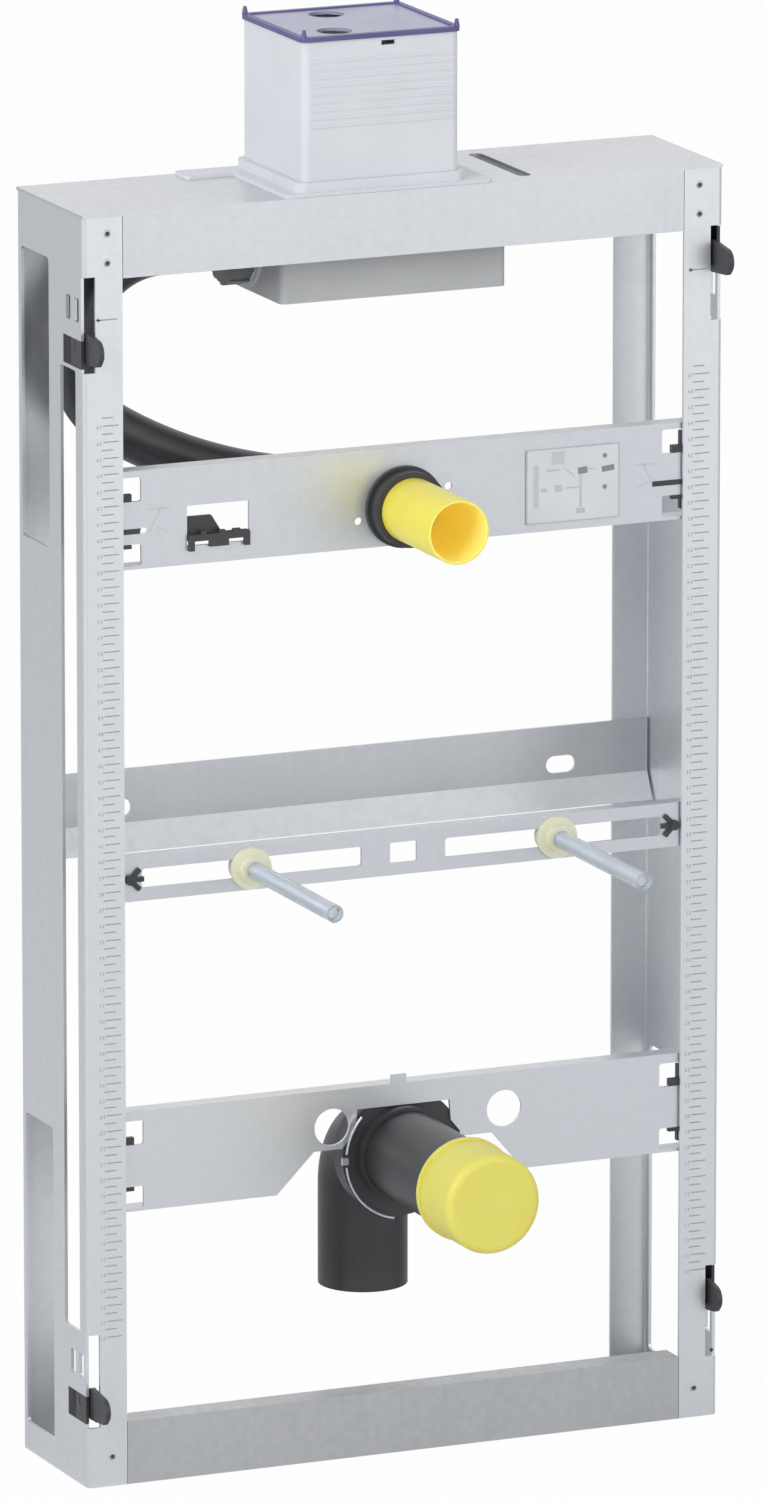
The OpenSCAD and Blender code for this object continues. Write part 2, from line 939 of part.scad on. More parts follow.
// Clear lid with two round openings, inside its dark rim
lid_t = 3;
lid_margin = 3;

module guard_lid() {
    hole_r = 11;
    color([0.75, 0.75, 0.9, 0.6])
        translate([guard_x, guard_y, frame_h + guard_h])
            difference() {
                round_slab(guard_w - 2 * lid_margin, guard_d - 2 * lid_margin, lid_t - 1, 3);
                for (p = [[-22, -26], [-4, 28]])
                    translate([p[0], p[1], -eps])
                        cylinder(r = hole_r, h = lid_t + 2 * eps);
            }
}

module guard_rim() {
    horn_h = 5;
    horn = 4;
    color([0.27, 0.26, 0.47])
        translate([guard_x, guard_y, frame_h + guard_h]) {
            difference() {
                round_slab(guard_w + 2, guard_d + 2, lid_t, guard_r);
                translate([0, 0, -eps])
                    round_slab(guard_w - 2 * lid_margin, guard_d - 2 * lid_margin,
                        lid_t + 2 * eps, 3);
            }
            for (sx = [-1, 1], sy = [-1, 1])
                translate([sx * (guard_w / 2 - 1.5), sy * (guard_d / 2 - 1.5), lid_t - eps])
                    cylinder(r1 = horn / 2, r2 = 1, h = horn_h);
        }
}

// Turn lever of a corner lock: a thin fin that turns in the fork of its block, with the handle
// in front of the post. The reaches from the pin are read from the photo, one by one
fork_in = inner_x - 7;
cheek = 2.2;
fin_x = fork_in + cheek + 0.8;
top_left_reach = 31.5;
top_right_reach = 35.5;
bottom_left_reach = 34.5;
bottom_right_reach = 26.5;

// Handle seen from the side: flat below, sloping above
module lever_outline(reach) {
    hub_r = 6;
    tip_r = 7.5;
    top_r = 3;
    edge_r = 1.5;
    half_h = 10;
    hull() {
        circle(hub_r);
        translate([lock_pin_u - top_r, half_h - top_r])
            circle(top_r);
        translate([reach - tip_r, 0])
            circle(tip_r);
        translate([reach - hub_r, edge_r - 0.85 * half_h])
            circle(edge_r);
        translate([lock_pin_u - top_r, edge_r - half_h])
            circle(edge_r);
    }
}

module lever(side, slot_z, reach) {
    pin_end = 0.5;
    color(black)
        on_lock(side, slot_z)
            translate([0, lock_pin_y, pin_z(side)]) {
                // Pin through both cheeks of the fork
                translate([fork_in, 0, 0])
                    rotate([0, 90, 0])
                        cylinder(r = lock_pin_r, h = half_w - pin_end - fork_in);
                // Fin with the handle
                translate([fin_x, 0, 0])
                    rotate([90, 0, 90])
                        linear_extrude(lock_t)
                            mirror([1, 0])
                                lever_outline(reach);
            }
}

module top_left_lever() {
    lever(-1, top_lock_z, top_left_reach);
}

module top_right_lever() {
    lever(1, top_lock_z, top_right_reach);
}

module bottom_left_lever() {
    lever(-1, bottom_lock_z, bottom_left_reach);
}

module bottom_right_lever() {
    lever(1, bottom_lock_z, bottom_right_reach);
}

// Lock block in the web's window: a fork with the bore for the pin, toothed at its rear
module block(side, slot_z) {
    front = 3.4;
    fork_end = 20;
    teeth = 6;
    tooth = 0.9;
    z = block_z(side);
    h = z[1] - z[0];
    x1 = half_w - block_gap;
    color(black)
        on_lock(side, slot_z)
            difference() {
                translate([fork_in, front_y + front, z[0]])
                    cube([x1 - fork_in, block_end_u - front, h]);
                translate([fork_in + cheek, front_y, z[0] - eps])
                    cube([inner_x - block_gap - fork_in - cheek, fork_end, h + 2 * eps]);
                translate([fork_in - eps, lock_pin_y, pin_z(side)])
                    rotate([0, 90, 0])
                        cylinder(r = lock_pin_r + lock_bore_gap, h = x1 - fork_in + 2 * eps);
                for (k = [0:teeth - 1])
                    translate([x1 - tooth, front_y + fork_end + 2 * k * tooth, z[0] - eps])
                        cube([tooth + eps, tooth, h + 2 * eps]);
            }
}

module top_left_block() {
    block(-1, top_lock_z);
}

module top_right_block() {
    block(1, top_lock_z);
}

module bottom_left_block() {
    block(-1, bottom_lock_z);
}

module bottom_right_block() {
    block(1, bottom_lock_z);
}

left_post();
right_post();
top_beam();
bottom_beam();
rear_crossbar();
upper_traverse();
upper_left_clip();
upper_right_clip();
cable_clip();
label_plate();
stud_rail();
rail_left_clip();
rail_right_clip();
left_stud();
right_stud();
left_nut();
right_nut();
left_sleeve();
right_sleeve();
drain_traverse();
drain_left_clip();
drain_right_clip();
drain_elbow();
drain_clamp();
drain_cap();
flush_pipe();
flush_elbow();
flush_coupling();
flush_collar();
flush_plug();
guard_base();
guard_box();
guard_lid();
guard_rim();
valve_tray();
tray_connector();
top_left_lever();
top_right_lever();
bottom_left_lever();
bottom_right_lever();
top_left_block();
top_right_block();
bottom_left_block();
bottom_right_block();
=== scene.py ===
import math

import bmesh
import bpy
from mathutils import Matrix, Vector


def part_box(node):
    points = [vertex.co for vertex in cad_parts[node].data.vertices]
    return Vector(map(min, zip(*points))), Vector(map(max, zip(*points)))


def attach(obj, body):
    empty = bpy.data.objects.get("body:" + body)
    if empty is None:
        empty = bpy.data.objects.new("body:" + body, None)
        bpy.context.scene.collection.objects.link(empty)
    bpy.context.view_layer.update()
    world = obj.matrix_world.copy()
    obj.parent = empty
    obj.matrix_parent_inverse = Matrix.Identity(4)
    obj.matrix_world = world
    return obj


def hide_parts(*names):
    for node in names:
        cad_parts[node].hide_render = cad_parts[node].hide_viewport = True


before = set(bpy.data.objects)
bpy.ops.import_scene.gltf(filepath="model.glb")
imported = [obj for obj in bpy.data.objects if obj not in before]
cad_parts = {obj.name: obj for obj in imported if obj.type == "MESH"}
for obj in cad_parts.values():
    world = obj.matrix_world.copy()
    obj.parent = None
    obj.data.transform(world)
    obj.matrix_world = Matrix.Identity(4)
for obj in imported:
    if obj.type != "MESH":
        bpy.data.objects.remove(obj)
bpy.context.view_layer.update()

MM = 0.001
FRONT, BACK = -52.5, 52.5
HALF_W = 212.5
SHEET = 2.0


# Shader helpers

def put(tree, kind, inputs=None, **attributes):
    """Adds a node, sets its attributes and the default values of its inputs."""
    node = tree.nodes.new(kind)
    for key, value in attributes.items():
        setattr(node, key, value)
    for key, value in (inputs or {}).items():
        node.inputs[key].default_value = value
    return node


def wire(tree, source, target, output=0, entry=0):
    tree.links.new(source.outputs[output], target.inputs[entry])


def new_group(name, inputs, outputs):
    """An empty shader group with named sockets: (name, kind, default) in and (name, kind) out."""
    group = bpy.data.node_groups.new(name, "ShaderNodeTree")
    for label, kind, default in inputs:
        socket = group.interface.new_socket(name=label, in_out="INPUT", socket_type=kind)
        socket.default_value = default
    for label, kind in outputs:
        group.interface.new_socket(name=label, in_out="OUTPUT", socket_type=kind)
    return group, put(group, "NodeGroupInput"), put(group, "NodeGroupOutput")


FLOAT = "NodeSocketFloat"
COLOUR = "NodeSocketColor"
CLOUD_SHARE, GRAIN_SHARE, STREAK_SHARE = 0.5, 0.35, 0.35
ZINC_ROUGH_SPREAD, PLASTIC_ROUGH_SPREAD = 0.12, 0.15
ZINC_BUMP, BUMP_DEPTH = 0.15, 0.0004


def make_zinc_group():
    """Galvanised sheet: soft spangle, rolling streaks and a cloudy tone."""
    group, entry, out = new_group(
        "galvanised finish",
        [("Bright", COLOUR, (0.8, 0.82, 0.85, 1)), ("Dull", COLOUR, (0.7, 0.73, 0.77, 1)),
         ("Roughness", FLOAT, 0.4), ("Streaks", FLOAT, 1.0)],
        [("Color", COLOUR), ("Roughness", FLOAT), ("Height", FLOAT)])
    place = put(group, "ShaderNodeTexCoord")
    cloud = put(group, "ShaderNodeTexNoise", {"Scale": 9.0, "Detail": 3.0, "Roughness": 0.55})
    spangle = put(group, "ShaderNodeTexVoronoi", {"Scale": 160.0, "Randomness": 1.0})
    stretch = put(group, "ShaderNodeMapping", {"Scale": (220.0, 220.0, 5.0)})
    streak = put(group, "ShaderNodeTexNoise", {"Scale": 1.0, "Detail": 2.0, "Roughness": 0.6})
    wire(group, place, cloud, "Object", "Vector")
    wire(group, place, spangle, "Object", "Vector")
    wire(group, place, stretch, "Object", "Vector")
    wire(group, stretch, streak, 0, "Vector")
    grain = put(group, "ShaderNodeMath", {1: GRAIN_SHARE}, operation="MULTIPLY")
    wire(group, spangle, grain, "Distance", 0)
    streaky = put(group, "ShaderNodeMath", operation="MULTIPLY")
    wire(group, streak, streaky, "Fac", 0)
    wire(group, entry, streaky, "Streaks", 1)
    mask = put(group, "ShaderNodeMath", {1: CLOUD_SHARE}, operation="MULTIPLY_ADD")
    wire(group, cloud, mask, "Fac", 0)
    wire(group, grain, mask, 0, 2)
    total = put(group, "ShaderNodeMath", {1: STREAK_SHARE}, operation="MULTIPLY_ADD")
    wire(group, streaky, total, 0, 0)
    wire(group, mask, total, 0, 2)
    ramp = put(group, "ShaderNodeMapRange", {"From Min": 0.25, "From Max": 0.75})
    wire(group, total, ramp, 0, 0)
    mix = put(group, "ShaderNodeMix", data_type="RGBA")
    wire(group, ramp, mix, 0, 0)
    wire(group, entry, mix, "Bright", 6)
    wire(group, entry, mix, "Dull", 7)
    wire(group, mix, out, 2, "Color")
    rough = put(group, "ShaderNodeMath", {1: ZINC_ROUGH_SPREAD}, operation="MULTIPLY_ADD")
    wire(group, ramp, rough, 0, 0)
    wire(group, entry, rough, "Roughness", 2)
    wire(group, rough, out, 0, "Roughness")
    wire(group, total, out, 0, "Height")
    return group


def make_plastic_group():
    """Moulded plastic: fine grain and a slightly uneven colour."""
    group, entry, out = new_group(
        "moulded plastic",
        [("Color", COLOUR, (0.5, 0.5, 0.5, 1)), ("Shade", COLOUR, (0.4, 0.4, 0.4, 1)),
         ("Roughness", FLOAT, 0.4), ("Grain", FLOAT, 700.0)],
        [("Color", COLOUR), ("Roughness", FLOAT), ("Height", FLOAT)])
    place = put(group, "ShaderNodeTexCoord")
    cloud = put(group, "ShaderNodeTexNoise", {"Scale": 24.0, "Detail": 3.0})
    grain = put(group, "ShaderNodeTexNoise", {"Detail": 2.0})
    wire(group, place, cloud, "Object", "Vector")
    wire(group, place, grain, "Object", "Vector")
    wire(group, entry, grain, "Grain", "Scale")
    ramp = put(group, "ShaderNodeMapRange", {"From Min": 0.3, "From Max": 0.7})
    wire(group, cloud, ramp, "Fac", 0)
    mix = put(group, "ShaderNodeMix", data_type="RGBA")
    wire(group, ramp, mix, 0, 0)
    wire(group, entry, mix, "Color", 6)
    wire(group, entry, mix, "Shade", 7)
    wire(group, mix, out, 2, "Color")
    rough = put(group, "ShaderNodeMath", {1: PLASTIC_ROUGH_SPREAD}, operation="MULTIPLY_ADD")
    wire(group, grain, rough, "Fac", 0)
    wire(group, entry, rough, "Roughness", 2)
    wire(group, rough, out, 0, "Roughness")
    wire(group, grain, out, "Fac", "Height")
    return group


ZINC_GROUP = make_zinc_group()
PLASTIC_GROUP = make_plastic_group()


def new_material(name):
    material = bpy.data.materials.new(name)
    material.use_nodes = True
    tree = material.node_tree
    tree.nodes.clear()
    shader = put(tree, "ShaderNodeBsdfPrincipled")
    wire(tree, shader, put(tree, "ShaderNodeOutputMaterial"))
    return material, tree, shader


def finish_surface(tree, shader, group, values, bump, settings):
    """Feeds a shared group's colour, roughness and height into the shader."""
    surface = put(tree, "ShaderNodeGroup", node_tree=group)
    for key, value in values.items():
        surface.inputs[key].default_value = value
    wire(tree, surface, shader, "Color", "Base Color")
    wire(tree, surface, shader, "Roughness", "Roughness")
    relief = put(tree, "ShaderNodeBump", {"Strength": bump, "Distance": BUMP_DEPTH})
    wire(tree, surface, relief, "Height", "Height")
    wire(tree, relief, shader, 0, "Normal")
    for key, value in settings.items():
        shader.inputs[key].default_value = value


def zinc(name, bright, dull, roughness=0.38, streaks=1.0, metallic=0.85):
    material, tree, shader = new_material(name)
    finish_surface(tree, shader, ZINC_GROUP,
                   {"Bright": bright, "Dull": dull, "Roughness": roughness, "Streaks": streaks},
                   ZINC_BUMP, {"Metallic": metallic})
    return material


def plastic(name, colour, shade, roughness=0.4, grain=700.0, bump=0.12, **settings):
    material, tree, shader = new_material(name)
    finish_surface(tree, shader, PLASTIC_GROUP,
                   {"Color": colour, "Shade": shade, "Roughness": roughness, "Grain": grain},
                   bump, {key.replace("_", " "): value for key, value in settings.items()})
    return material


MATERIALS = {
    "zinc": zinc("galvanised sheet", (0.715, 0.73, 0.75, 1), (0.66, 0.68, 0.705, 1), 0.3),
    "beam zinc": zinc("top beam sheet", (0.65, 0.66, 0.68, 1), (0.6, 0.615, 0.64, 1), 0.3),
    "rail zinc": zinc("rail sheet", (0.63, 0.645, 0.67, 1), (0.585, 0.6, 0.63, 1), 0.3),
    "drain zinc": zinc("drain sheet", (0.67, 0.685, 0.71, 1), (0.625, 0.64, 0.67, 1), 0.3),
    "back zinc": zinc("crossbar sheet", (0.6, 0.615, 0.635, 1), (0.55, 0.565, 0.59, 1), 0.3),
    "dark zinc": zinc("darker galvanised sheet", (0.53, 0.535, 0.545, 1), (0.455, 0.465, 0.48, 1),
                      0.36),
    "steel": zinc("stud steel", (0.7, 0.72, 0.74, 1), (0.55, 0.57, 0.6, 1), 0.3, 0.4, 1.0),
    "black": plastic("black moulded plastic", (0.03, 0.03, 0.032, 1), (0.045, 0.045, 0.05, 1),
                     0.38),
    "pipe": plastic("black pipe", (0.022, 0.022, 0.024, 1), (0.038, 0.038, 0.042, 1), 0.3, 400.0),
    "yellow": plastic("yellow plug", (0.9, 0.82, 0.12, 1), (0.88, 0.78, 0.09, 1), 0.28,
                      Subsurface_Weight=1.0, Subsurface_Radius=(1.0, 0.8, 0.25),
                      Subsurface_Scale=0.004),
    "pale yellow": plastic("yellow cap", (0.82, 0.74, 0.16, 1), (0.78, 0.69, 0.12, 1), 0.36,
                           Subsurface_Weight=0.4, Subsurface_Radius=(1.0, 0.85, 0.3),
                           Subsurface_Scale=0.006),
    "cream": plastic("cream nut", (0.78, 0.77, 0.6, 1), (0.74, 0.72, 0.54, 1), 0.38,
                     Subsurface_Weight=0.3, Subsurface_Radius=(1.0, 0.9, 0.5),
                     Subsurface_Scale=0.004),
    "sleeve": plastic("clear sleeve", (0.88, 0.92, 0.97, 1), (0.82, 0.87, 0.93, 1), 0.12,
                      Transmission_Weight=0.7, IOR=1.3),
    "white": plastic("white housing", (0.7, 0.71, 0.735, 1), (0.66, 0.67, 0.695, 1), 0.42),
    "grey": plastic("grey tray", (0.49, 0.495, 0.5, 1), (0.44, 0.445, 0.45, 1), 0.45),
    # Grey plastic, darkened with painted shade: the coupling nut sits in shade
    "shade-darkened grey": plastic("grey coupling nut with painted shade", (0.15, 0.15, 0.155, 1), (0.12, 0.12, 0.125, 1), 0.4),
    "pale": plastic("pale connector", (0.62, 0.63, 0.64, 1), (0.54, 0.55, 0.57, 1), 0.42),
    "lid": plastic("lavender lid", (0.36, 0.37, 0.49, 1), (0.45, 0.46, 0.57, 1), 0.3),
    "rim": plastic("violet rim", (0.08, 0.07, 0.2, 1), (0.12, 0.11, 0.28, 1), 0.35),
    "ink": plastic("ruler print", (0.3, 0.31, 0.33, 1), (0.36, 0.37, 0.39, 1), 0.5),
    "pale ink": plastic("pale print", (0.5, 0.52, 0.55, 1), (0.55, 0.57, 0.6, 1), 0.5),
    "dark ink": plastic("dark print", (0.22, 0.22, 0.23, 1), (0.28, 0.28, 0.29, 1), 0.5),
    "bright zinc": zinc("pressed bright zinc", (0.9, 0.91, 0.93, 1), (0.86, 0.87, 0.89, 1), 0.25),
    "label": plastic("bare label", (0.68, 0.69, 0.71, 1), (0.64, 0.65, 0.67, 1), 0.35),
}

NODE_LOOKS = {
    "zinc": ("left_post", "right_post"),
    "beam zinc": ("top_beam",),
    "rail zinc": ("upper_traverse", "stud_rail"),
    "drain zinc": ("drain_traverse",),
    "back zinc": ("rear_crossbar",),
    "dark zinc": ("bottom_beam",),
    "steel": ("left_stud", "right_stud"),
    "black": ("upper_left_clip", "upper_right_clip", "cable_clip", "rail_left_clip",
              "rail_right_clip", "drain_left_clip", "drain_right_clip", "drain_clamp",
              "flush_collar", "top_left_lever", "top_right_lever", "bottom_left_lever",
              "bottom_right_lever", "top_left_block", "top_right_block", "bottom_left_block",
              "bottom_right_block"),
    "pipe": ("drain_elbow", "flush_pipe", "flush_elbow"),
    "yellow": ("flush_plug",),
    "pale yellow": ("drain_cap",),
    "cream": ("left_nut", "right_nut"),
    "sleeve": ("left_sleeve", "right_sleeve"),
    "white": ("guard_base", "guard_box"),
    "grey": ("valve_tray",),
    "pale": ("tray_connector",),
    "shade-darkened grey": ("flush_coupling",),
    "lid": ("guard_lid",),
    "rim": ("guard_rim",),
    "label": ("label_plate",),
}


# Painted light inside the flush plug: its inner wall gets a brighter colour and an emission glow
PLUG_INNER_R = 0.0192
PLUG_INSIDE_PAINTED_LIGHT = (0.95, 0.8, 0.24, 1)
PLUG_PAINTED_GLOW = (0.13, 0.085, 0.018, 1)


def pale_inside(material, centre_z):
    """Paints light on the tube's inner wall, nearer its axis than the outer one: a brighter
    colour and a glow stand in for the light that comes through the wall.
    """
    tree = material.node_tree
    shader = next(node for node in tree.nodes if node.type == "BSDF_PRINCIPLED")
    coloured = shader.inputs["Base Color"].links[0].from_socket
    place = put(tree, "ShaderNodeTexCoord")
    flat = put(tree, "ShaderNodeMapping", {"Location": (0, 0, -centre_z), "Scale": (1, 0, 1)})
    wire(tree, place, flat, "Object", "Vector")
    reach = put(tree, "ShaderNodeVectorMath", operation="LENGTH")
    wire(tree, flat, reach, 0, 0)
    inside = put(tree, "ShaderNodeMath", {1: PLUG_INNER_R}, operation="LESS_THAN")
    wire(tree, reach, inside, "Value", 0)
    mix = put(tree, "ShaderNodeMix", data_type="RGBA")
    mix.inputs[7].default_value = PLUG_INSIDE_PAINTED_LIGHT
    wire(tree, inside, mix, 0, 0)
    tree.links.new(coloured, mix.inputs[6])
    wire(tree, mix, shader, 2, "Base Color")
    glow = put(tree, "ShaderNodeMix", data_type="RGBA")
    glow.inputs[6].default_value = (0, 0, 0, 1)
    glow.inputs[7].default_value = PLUG_PAINTED_GLOW
    wire(tree, inside, glow, 0, 0)
    wire(tree, glow, shader, 2, "Emission Color")
    shader.inputs["Emission Strength"].default_value = 1.0


def dress(obj, look):
    obj.data.materials.clear()
    obj.data.materials.append(MATERIALS[look])


for look, names in NODE_LOOKS.items():
    for name in names:
        dress(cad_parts[name], look)
plug_low, plug_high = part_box("flush_plug")
# Painted light: the plug's inner wall is brightened and made to glow
pale_inside(MATERIALS["yellow"], (plug_low[2] + plug_high[2]) / 2)


# Small pieces that the sheet carries, drawn in millimetres

INK = 0.06
RULER_TOP, RULER_STEP, RULER_MARKS = 670.0, 5.0, 116
RULER_X = 196.7
LONG_MARK, SHORT_MARK, MARK_THICK = 14.6, 7.8, 0.75
DIGIT_H, DIGIT_PITCH = 2.5, 2.1
INDEX_Z = 730.4
RIVET_X, RIVET_HEIGHTS = 196.5, (783.3, 765.2, 19.0)
# The dark centre of each rivet head is painted shade: a black disc where the hollow is
HEAD_R, HEAD_H, HOLLOW_SHADE_R, HOLLOW_SHADE_OUT, HOLLOW_SHADE_DEPTH = 2.4, 0.7, 1.35, 0.6, 0.4
EDGE_HOLE_SHADE = (HALF_W - 3.8, FRONT - 0.1, 42.0)
BACK_RIVET_X, BACK_RIVET_HEIGHTS = 197.0, (415.6, 388.0)
# Label drawing: across and down from the plate's top left corner, then width and height
SOFT_SHAPES = ((6.2, 23, 3.4, 27), (21, 6, 8.6, 8), (17.5, 13.4, 9, 1.6), (36.2, 28, 1.6, 20),
               (11.5, 25.5, 4.4, 2.6), (21.2, 25, 5, 4.4), (30.5, 25.2, 9.5, 1.0),
               (44, 14.6, 5, 0.9), (36.2, 40.2, 6, 3.4))
DARK_SHAPES = ((37.6, 15, 6.4, 4.2), (54.6, 15, 8.4, 3.6))
DARK_LEAN = -6
# Width of the dark border round the label plate: painted shadow of the gap at its edges, half as
# wide along the top
LABEL_SHADOW_BORDER = 0.9
# Turn marks beside each end clip: shift outwards, height, length and lean
TURN_X, TURN_THICK = 162.0, 1.1
TURN_MARKS = ((0.0, 610.5, 14, 0), (2.5, 603.5, 15, 62), (-2.0, 597.5, 8, -18))
LUG_X, LUG_Z, LUG_R, LUG_H = -172.3, 597.0, 2.8, 0.9
THREAD_PITCH, THREAD_DEPTH, THREAD_SIDES = 1.25, 0.5, 20
# Clamp edge: its arcs and the turn of one step in degrees, and its thickness
CLAMP_ARCS, ARC_TURN, CLAMP_EDGE = ((138, 174), (186, 258)), 6, 1.7


def new_piece(name, form, look, body="frame"):
    """Turns a shape drawn in millimetres into a piece that rides on a body."""
    bmesh.ops.scale(form, vec=(MM, MM, MM), verts=form.verts)
    mesh = bpy.data.meshes.new(name)
    form.to_mesh(mesh)
    form.free()
    piece = bpy.data.objects.new(name, mesh)
    bpy.context.scene.collection.objects.link(piece)
    dress(piece, look)
    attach(piece, body)
    return piece


def facing_front(middle):
    """Places a shape drawn flat in X and Y upright, with its top towards the front."""
    return Matrix.Translation(middle) @ Matrix.Rotation(math.radians(90), 4, "X")


def add_bar(form, middle, size, lean=0.0):
    """A flat bar, turned in the front plane by some degrees."""
    turn = Matrix.Rotation(math.radians(lean), 4, "Y")
    bmesh.ops.create_cube(form, size=1.0,
                          matrix=Matrix.Translation(middle) @ turn @ Matrix.Diagonal((*size, 1)))


def add_disc(form, middle, radius, depth, sides=20):
    """A short round stub that faces the front."""
    bmesh.ops.create_cone(form, cap_ends=True, segments=sides, radius1=radius, radius2=radius,
                          depth=depth, matrix=facing_front(middle))


def add_dome(form, middle, radius, height):
    """A rivet head: a flattened ball, half sunk in the sheet."""
    shape = Matrix.Diagonal((radius, radius, height, 1))
    bmesh.ops.create_uvsphere(form, u_segments=20, v_segments=10, radius=1.0,
                              matrix=facing_front(middle) @ shape)


def make_digits():
    """One thin solid mesh for each digit, with its lower left corner at the origin."""
    curve = bpy.data.curves.new("digit", "FONT")
    curve.size = DIGIT_H / 0.72
    curve.resolution_u = 2
    curve.extrude = INK / 2
    drawn = bpy.data.objects.new("digit", curve)
    meshes = []
    for digit in range(10):
        curve.body = str(digit)
        meshes.append(bpy.data.meshes.new_from_object(drawn))
    bpy.data.objects.remove(drawn)
    return meshes


def add_number(form, digits, number, corner):
    """A plain number, its lower left corner at a point of the front plane."""
    for place, character in enumerate(str(number)):
        before = len(form.verts)
        form.from_mesh(digits[int(character)])
        form.verts.ensure_lookup_table()
        shift = Vector((place * DIGIT_PITCH, 0, 0))
        bmesh.ops.transform(form, matrix=facing_front(Vector(corner) + shift),
                            verts=form.verts[before:])


def make_ruler(name, side, digits):
    """Printed scale on a front flange: a mark each 5 mm and a plain number each 10 mm."""
    form = bmesh.new()
    y = FRONT - INK / 2
    middle = side * RULER_X
    left = middle - LONG_MARK / 2
    for k in range(RULER_MARKS):
        z = RULER_TOP - k * RULER_STEP
        if k % 2:
            number = round((z + RULER_STEP) / 10)
            add_number(form, digits, number, (left, y, z - DIGIT_H / 2 - 0.6))
            start = left + 2 * DIGIT_PITCH + 0.4
            add_bar(form, ((start + left + LONG_MARK) / 2, y, z),
                    (left + LONG_MARK - start, INK, MARK_THICK))
        else:
            add_bar(form, (middle, y, z), (SHORT_MARK, INK, MARK_THICK))
    add_bar(form, (middle, y, INDEX_Z), (LONG_MARK - 1, INK, MARK_THICK))
    add_bar(form, (left + 1.5, y, INDEX_Z), (2.4, INK, 2.2), 45)
    new_piece(name, form, "ink")


def make_rivets():
    """Blind rivets where the beams meet the posts: a low head, with a black disc set in it as
    painted shade where its hollow is.
    """
    heads, hollow_shades = bmesh.new(), bmesh.new()
    for side in (-1, 1):
        for z in RIVET_HEIGHTS:
            add_dome(heads, (side * RIVET_X, FRONT, z), HEAD_R, HEAD_H)
            add_disc(hollow_shades, (side * RIVET_X, FRONT - HOLLOW_SHADE_OUT, z), HOLLOW_SHADE_R, HOLLOW_SHADE_DEPTH)
    # Painted shade: a black disc where a hole at the post's edge is
    add_disc(hollow_shades, EDGE_HOLE_SHADE, 1.2, 0.3)
    for side in (-1, 1):
        for z in BACK_RIVET_HEIGHTS:
            add_dome(heads, (side * BACK_RIVET_X, BACK - SHEET - 0.2, z), 3.0, 1.4)
    new_piece("rivet_heads", heads, "dark zinc")
    new_piece("rivet_hollow_shades", hollow_shades, "black")


def make_label_drawing():
    """A generic connection diagram on the bare plate: blocks, lines and dots, with no words; and
    a dark border of painted shadow round the plate.
    """
    low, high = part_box("label_plate")
    left, top, y = low[0] / MM, high[2] / MM, low[1] / MM - INK / 2
    soft, dark = bmesh.new(), bmesh.new()
    for x, z, wide, tall in SOFT_SHAPES:
        add_bar(soft, (left + x, y, top - z), (wide, INK, tall))
    add_bar(soft, (left + 28.6, y, top - 15.4), (9, INK, 0.9), 42)
    for x, z, wide, tall in DARK_SHAPES:
        add_bar(dark, (left + x, y, top - z), (wide, INK, tall), DARK_LEAN)
    for z in (6.9, 26.5):
        add_disc(dark, (left + 52.5, y, top - z), 1.5, INK)
    new_piece("label_diagram_soft", soft, "pale ink")
    new_piece("label_diagram_dark", dark, "dark ink")
    # Dark bars round the plate's edges are painted shadow, the shade in the gap round the plate
    edge = bmesh.new()
    bottom, right = low[2] / MM, high[0] / MM
    for x, z, wide, tall in ((left, (top + bottom) / 2, LABEL_SHADOW_BORDER, top - bottom),
                             (right, (top + bottom) / 2, LABEL_SHADOW_BORDER, top - bottom),
                             ((left + right) / 2, bottom, right - left, LABEL_SHADOW_BORDER),
                             ((left + right) / 2, top, right - left, LABEL_SHADOW_BORDER / 2)):
        add_bar(edge, (x, low[1] / MM + 0.3, z), (wide, 0.7, tall))
    new_piece("label_painted_shadow", edge, "dark zinc")


def make_turn_marks():
    """Faint printed turn marks beside the end clips, and the bright lug of the left one."""
    marks = bmesh.new()
    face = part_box("label_plate")[1][1] / MM - INK / 2
    for side in (-1, 1):
        for shift, z, length, lean in TURN_MARKS:
            add_bar(marks, (side * (TURN_X + shift), face, z), (length, INK, TURN_THICK),
                    side * lean)
    new_piece("turn_marks", marks, "pale ink")
    lug = bmesh.new()
    add_dome(lug, (LUG_X, face + INK / 2, LUG_Z), LUG_R, LUG_H)
    new_piece("clip_lug", lug, "bright zinc")


def make_threaded_stud(side, name):
    """Threaded rod in the place of the plain one, spun from a zigzag outline."""
    node = f"{name}_stud"
    low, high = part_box(node)
    x, z = (low[0] + high[0]) / 2 / MM, (low[2] + high[2]) / 2 / MM
    start, end = low[1] / MM, high[1] / MM
    crest = (high[2] - low[2]) / 2 / MM - 0.03
    teeth = int((end - start - 2 * THREAD_DEPTH) / THREAD_PITCH)
    form = bmesh.new()
    outline = [(0.0, start), (crest - THREAD_DEPTH, start)]
    for k in range(teeth):
        y = start + THREAD_DEPTH + k * THREAD_PITCH
        outline += [(crest, y + THREAD_PITCH * 0.35), (crest - THREAD_DEPTH, y + THREAD_PITCH)]
    outline += [(crest - THREAD_DEPTH, end), (0.0, end)]
    points = [form.verts.new((radius, y, 0.0)) for radius, y in outline]
    for one, two in zip(points, points[1:]):
        form.edges.new((one, two))
    bmesh.ops.spin(form, geom=form.verts[:] + form.edges[:], cent=(0, 0, 0), axis=(0, 1, 0),
                   angle=math.tau, steps=THREAD_SIDES, use_merge=True)
    bmesh.ops.remove_doubles(form, verts=form.verts, dist=0.001)
    bmesh.ops.recalc_face_normals(form, faces=form.faces)
    bmesh.ops.translate(form, vec=(x, 0, z), verts=form.verts)
    rod = new_piece(f"{name}_threaded_rod", form, "steel", "stud_carrier")
    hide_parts(node)


